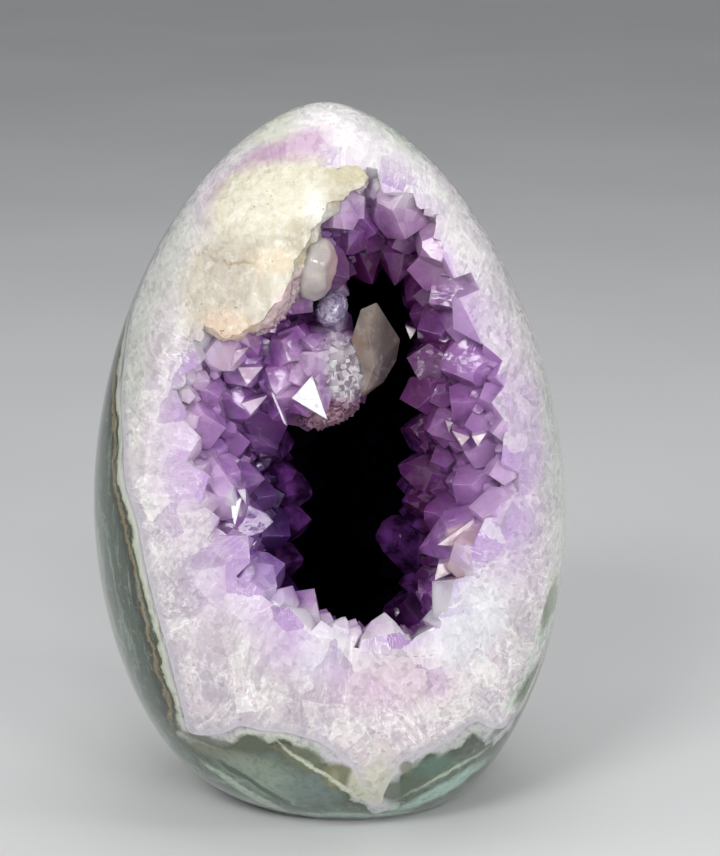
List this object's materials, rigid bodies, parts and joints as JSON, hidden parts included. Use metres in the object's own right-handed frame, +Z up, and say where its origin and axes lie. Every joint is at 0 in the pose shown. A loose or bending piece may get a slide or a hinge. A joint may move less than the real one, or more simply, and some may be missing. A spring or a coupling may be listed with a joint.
{
  "type": "amethyst cathedral geode",
  "caption": "Polished egg-shaped geode that stands on its own flat foot, cut open to a deep pocket lined with violet crystals, with cream calcite grown beside them.",
  "frame": {"origin": "on the surface it stands on, under the middle of the overall box", "axes": "+Z up, the open pocket faces -Y, +X to the right as seen from the pocket's side"},
  "size_m": [0.1006, 0.0838, 0.15],
  "materials": {
    "agate_rind": "polished",
    "amethyst": "gloss",
    "cream_calcite": "satin",
    "grey_calcite": "satin",
    "tan_calcite": "satin"
  },
  "bodies": {
    "root": {"geode_wall": "agate_rind", "amethyst_crust": "amethyst", "calcite_cluster": "cream_calcite", "calcite_knob": "grey_calcite", "calcite_blade": "tan_calcite"}
  },
  "joints": []
}
